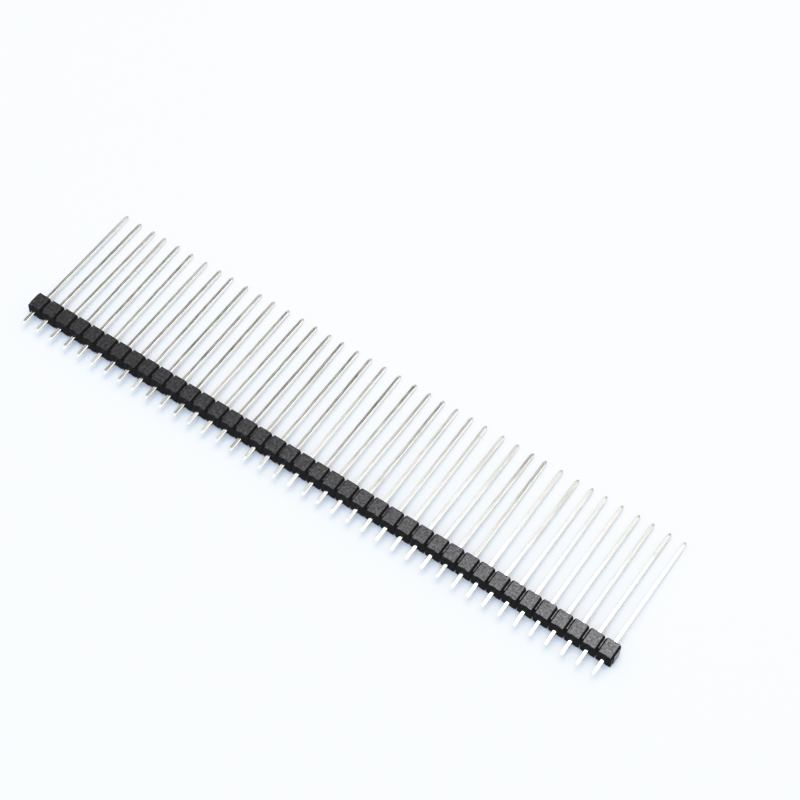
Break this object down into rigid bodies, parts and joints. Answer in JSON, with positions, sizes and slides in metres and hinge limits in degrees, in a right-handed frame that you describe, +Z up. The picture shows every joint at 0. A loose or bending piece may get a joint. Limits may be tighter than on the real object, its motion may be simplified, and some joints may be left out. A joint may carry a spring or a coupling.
{
  "type": "pin header strip",
  "caption": "Break-away pin header strip: square tin-plated pins with long ends and short tails, pressed through a grooved black plastic housing in one straight row.",
  "frame": {"origin": "middle of the strip's length and of the pins' length, level with the underside of the housing as it lies", "axes": "+X along the strip, +Y along the pins towards their long ends, +Z up from the side that it lies on"},
  "size_m": [0.1016, 0.025, 0.0025],
  "materials": {
    "housing_plastic": "black glass-filled plastic with a fine matt grain",
    "pin_metal": "bright tin plate over brass, slightly mottled"
  },
  "bodies": {
    "root": {"housing": "housing_plastic", "pin_01": "pin_metal", "pin_02": "pin_metal", "pin_03": "pin_metal", "pin_04": "pin_metal", "pin_05": "pin_metal", "pin_06": "pin_metal", "pin_07": "pin_metal", "pin_08": "pin_metal", "pin_09": "pin_metal", "pin_10": "pin_metal", "pin_11": "pin_metal", "pin_12": "pin_metal", "pin_13": "pin_metal", "pin_14": "pin_metal", "pin_15": "pin_metal", "pin_16": "pin_metal", "pin_17": "pin_metal", "pin_18": "pin_metal", "pin_19": "pin_metal", "pin_20": "pin_metal", "pin_21": "pin_metal", "pin_22": "pin_metal", "pin_23": "pin_metal", "pin_24": "pin_metal", "pin_25": "pin_metal", "pin_26": "pin_metal", "pin_27": "pin_metal", "pin_28": "pin_metal", "pin_29": "pin_metal", "pin_30": "pin_metal", "pin_31": "pin_metal", "pin_32": "pin_metal", "pin_33": "pin_metal", "pin_34": "pin_metal", "pin_35": "pin_metal", "pin_36": "pin_metal", "pin_37": "pin_metal", "pin_38": "pin_metal", "pin_39": "pin_metal", "pin_40": "pin_metal"}
  },
  "joints": []
}
